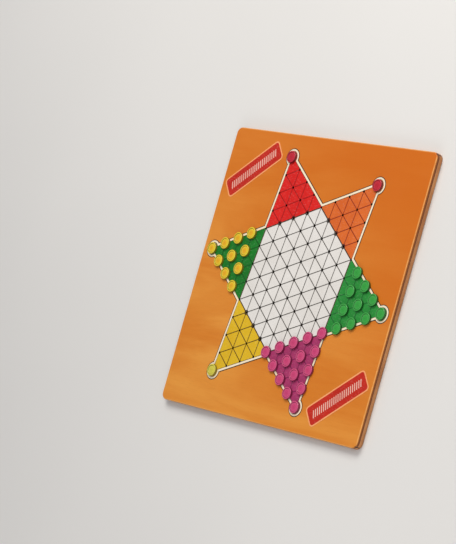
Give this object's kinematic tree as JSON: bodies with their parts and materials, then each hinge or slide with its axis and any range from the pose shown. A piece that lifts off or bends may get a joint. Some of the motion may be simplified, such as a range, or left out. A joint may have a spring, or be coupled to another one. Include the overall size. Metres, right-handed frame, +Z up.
{
  "type": "chinese checkers board",
  "caption": "Square two-layer wooden board with an inlaid six-pointed star of drilled holes on a triangular lattice, and round-headed pegs that lift out.",
  "frame": {"origin": "middle of the underside of the board", "axes": "+Z up out of the playing face, +X and +Y square to the edges; +X points at the edge beside the green point that holds the green pegs"},
  "size_m": [0.26, 0.26, 0.0101],
  "materials": {
    "base_panel": "bare tan edge, satin",
    "top_panel": "honey stain under clear satin lacquer",
    "field_centre": "printed off-white with a triangular line pattern",
    "field_red": "printed red, satin",
    "field_orange": "printed orange, satin",
    "field_green": "printed green, satin",
    "field_magenta": "printed magenta, satin",
    "field_yellow": "printed yellow, satin",
    "field_mint": "printed leaf green, satin",
    "stripe_cream": "printed cream, satin",
    "keyline_brown": "printed dark brown, satin",
    "plate_red": "printed red, satin",
    "peg_yellow": "moulded, glossy",
    "peg_green": "moulded, glossy",
    "peg_magenta": "moulded, glossy",
    "peg_crimson": "moulded, glossy",
    "peg_lime": "moulded, glossy"
  },
  "bodies": {
    "board": {"base_panel": "base_panel", "field_centre": "field_centre", "field_green": "field_green", "field_magenta": "field_magenta", "field_mint": "field_mint", "field_orange": "field_orange", "field_red": "field_red", "field_yellow": "field_yellow", "plate_left": "plate_red", "plate_right": "plate_red", "plate_trim_left": "stripe_cream", "plate_trim_right": "stripe_cream", "star_keyline": "keyline_brown", "star_stripe": "stripe_cream", "top_panel": "top_panel"},
    "peg_crimson_01": {"peg_crimson_01": "peg_crimson"},
    "peg_crimson_02": {"peg_crimson_02": "peg_crimson"},
    "peg_green_01": {"peg_green_01": "peg_green"},
    "peg_green_02": {"peg_green_02": "peg_green"},
    "peg_green_03": {"peg_green_03": "peg_green"},
    "peg_green_04": {"peg_green_04": "peg_green"},
    "peg_green_05": {"peg_green_05": "peg_green"},
    "peg_green_06": {"peg_green_06": "peg_green"},
    "peg_green_07": {"peg_green_07": "peg_green"},
    "peg_green_08": {"peg_green_08": "peg_green"},
    "peg_green_09": {"peg_green_09": "peg_green"},
    "peg_green_10": {"peg_green_10": "peg_green"},
    "peg_lime_01": {"peg_lime_01": "peg_lime"},
    "peg_magenta_01": {"peg_magenta_01": "peg_magenta"},
    "peg_magenta_02": {"peg_magenta_02": "peg_magenta"},
    "peg_magenta_03": {"peg_magenta_03": "peg_magenta"},
    "peg_magenta_04": {"peg_magenta_04": "peg_magenta"},
    "peg_magenta_05": {"peg_magenta_05": "peg_magenta"},
    "peg_magenta_06": {"peg_magenta_06": "peg_magenta"},
    "peg_magenta_07": {"peg_magenta_07": "peg_magenta"},
    "peg_magenta_08": {"peg_magenta_08": "peg_magenta"},
    "peg_magenta_09": {"peg_magenta_09": "peg_magenta"},
    "peg_magenta_10": {"peg_magenta_10": "peg_magenta"},
    "peg_magenta_11": {"peg_magenta_11": "peg_magenta"},
    "peg_magenta_12": {"peg_magenta_12": "peg_magenta"},
    "peg_magenta_13": {"peg_magenta_13": "peg_magenta"},
    "peg_magenta_14": {"peg_magenta_14": "peg_magenta"},
    "peg_magenta_15": {"peg_magenta_15": "peg_magenta"},
    "peg_yellow_01": {"peg_yellow_01": "peg_yellow"},
    "peg_yellow_02": {"peg_yellow_02": "peg_yellow"},
    "peg_yellow_03": {"peg_yellow_03": "peg_yellow"},
    "peg_yellow_04": {"peg_yellow_04": "peg_yellow"},
    "peg_yellow_05": {"peg_yellow_05": "peg_yellow"},
    "peg_yellow_06": {"peg_yellow_06": "peg_yellow"},
    "peg_yellow_07": {"peg_yellow_07": "peg_yellow"},
    "peg_yellow_08": {"peg_yellow_08": "peg_yellow"},
    "peg_yellow_09": {"peg_yellow_09": "peg_yellow"},
    "peg_yellow_10": {"peg_yellow_10": "peg_yellow"}
  },
  "joints": [
    {"name": "peg_crimson_01_lift", "type": "slide", "parent": "board", "child": "peg_crimson_01", "axis": [0, 0, 1], "range_m": [0, 0.012]},
    {"name": "peg_crimson_02_lift", "type": "slide", "parent": "board", "child": "peg_crimson_02", "axis": [0, 0, 1], "range_m": [0, 0.012]},
    {"name": "peg_green_01_lift", "type": "slide", "parent": "board", "child": "peg_green_01", "axis": [0, 0, 1], "range_m": [0, 0.012]},
    {"name": "peg_green_02_lift", "type": "slide", "parent": "board", "child": "peg_green_02", "axis": [0, 0, 1], "range_m": [0, 0.012]},
    {"name": "peg_green_03_lift", "type": "slide", "parent": "board", "child": "peg_green_03", "axis": [0, 0, 1], "range_m": [0, 0.012]},
    {"name": "peg_green_04_lift", "type": "slide", "parent": "board", "child": "peg_green_04", "axis": [0, 0, 1], "range_m": [0, 0.012]},
    {"name": "peg_green_05_lift", "type": "slide", "parent": "board", "child": "peg_green_05", "axis": [0, 0, 1], "range_m": [0, 0.012]},
    {"name": "peg_green_06_lift", "type": "slide", "parent": "board", "child": "peg_green_06", "axis": [0, 0, 1], "range_m": [0, 0.012]},
    {"name": "peg_green_07_lift", "type": "slide", "parent": "board", "child": "peg_green_07", "axis": [0, 0, 1], "range_m": [0, 0.012]},
    {"name": "peg_green_08_lift", "type": "slide", "parent": "board", "child": "peg_green_08", "axis": [0, 0, 1], "range_m": [0, 0.012]},
    {"name": "peg_green_09_lift", "type": "slide", "parent": "board", "child": "peg_green_09", "axis": [0, 0, 1], "range_m": [0, 0.012]},
    {"name": "peg_green_10_lift", "type": "slide", "parent": "board", "child": "peg_green_10", "axis": [0, 0, 1], "range_m": [0, 0.012]},
    {"name": "peg_lime_01_lift", "type": "slide", "parent": "board", "child": "peg_lime_01", "axis": [0, 0, 1], "range_m": [0, 0.012]},
    {"name": "peg_magenta_01_lift", "type": "slide", "parent": "board", "child": "peg_magenta_01", "axis": [0, 0, 1], "range_m": [0, 0.012]},
    {"name": "peg_magenta_02_lift", "type": "slide", "parent": "board", "child": "peg_magenta_02", "axis": [0, 0, 1], "range_m": [0, 0.012]},
    {"name": "peg_magenta_03_lift", "type": "slide", "parent": "board", "child": "peg_magenta_03", "axis": [0, 0, 1], "range_m": [0, 0.012]},
    {"name": "peg_magenta_04_lift", "type": "slide", "parent": "board", "child": "peg_magenta_04", "axis": [0, 0, 1], "range_m": [0, 0.012]},
    {"name": "peg_magenta_05_lift", "type": "slide", "parent": "board", "child": "peg_magenta_05", "axis": [0, 0, 1], "range_m": [0, 0.012]},
    {"name": "peg_magenta_06_lift", "type": "slide", "parent": "board", "child": "peg_magenta_06", "axis": [0, 0, 1], "range_m": [0, 0.012]},
    {"name": "peg_magenta_07_lift", "type": "slide", "parent": "board", "child": "peg_magenta_07", "axis": [0, 0, 1], "range_m": [0, 0.012]},
    {"name": "peg_magenta_08_lift", "type": "slide", "parent": "board", "child": "peg_magenta_08", "axis": [0, 0, 1], "range_m": [0, 0.012]},
    {"name": "peg_magenta_09_lift", "type": "slide", "parent": "board", "child": "peg_magenta_09", "axis": [0, 0, 1], "range_m": [0, 0.012]},
    {"name": "peg_magenta_10_lift", "type": "slide", "parent": "board", "child": "peg_magenta_10", "axis": [0, 0, 1], "range_m": [0, 0.012]},
    {"name": "peg_magenta_11_lift", "type": "slide", "parent": "board", "child": "peg_magenta_11", "axis": [0, 0, 1], "range_m": [0, 0.012]},
    {"name": "peg_magenta_12_lift", "type": "slide", "parent": "board", "child": "peg_magenta_12", "axis": [0, 0, 1], "range_m": [0, 0.012]},
    {"name": "peg_magenta_13_lift", "type": "slide", "parent": "board", "child": "peg_magenta_13", "axis": [0, 0, 1], "range_m": [0, 0.012]},
    {"name": "peg_magenta_14_lift", "type": "slide", "parent": "board", "child": "peg_magenta_14", "axis": [0, 0, 1], "range_m": [0, 0.012]},
    {"name": "peg_magenta_15_lift", "type": "slide", "parent": "board", "child": "peg_magenta_15", "axis": [0, 0, 1], "range_m": [0, 0.012]},
    {"name": "peg_yellow_01_lift", "type": "slide", "parent": "board", "child": "peg_yellow_01", "axis": [0, 0, 1], "range_m": [0, 0.012]},
    {"name": "peg_yellow_02_lift", "type": "slide", "parent": "board", "child": "peg_yellow_02", "axis": [0, 0, 1], "range_m": [0, 0.012]},
    {"name": "peg_yellow_03_lift", "type": "slide", "parent": "board", "child": "peg_yellow_03", "axis": [0, 0, 1], "range_m": [0, 0.012]},
    {"name": "peg_yellow_04_lift", "type": "slide", "parent": "board", "child": "peg_yellow_04", "axis": [0, 0, 1], "range_m": [0, 0.012]},
    {"name": "peg_yellow_05_lift", "type": "slide", "parent": "board", "child": "peg_yellow_05", "axis": [0, 0, 1], "range_m": [0, 0.012]},
    {"name": "peg_yellow_06_lift", "type": "slide", "parent": "board", "child": "peg_yellow_06", "axis": [0, 0, 1], "range_m": [0, 0.012]},
    {"name": "peg_yellow_07_lift", "type": "slide", "parent": "board", "child": "peg_yellow_07", "axis": [0, 0, 1], "range_m": [0, 0.012]},
    {"name": "peg_yellow_08_lift", "type": "slide", "parent": "board", "child": "peg_yellow_08", "axis": [0, 0, 1], "range_m": [0, 0.012]},
    {"name": "peg_yellow_09_lift", "type": "slide", "parent": "board", "child": "peg_yellow_09", "axis": [0, 0, 1], "range_m": [0, 0.012]},
    {"name": "peg_yellow_10_lift", "type": "slide", "parent": "board", "child": "peg_yellow_10", "axis": [0, 0, 1], "range_m": [0, 0.012]}
  ]
}
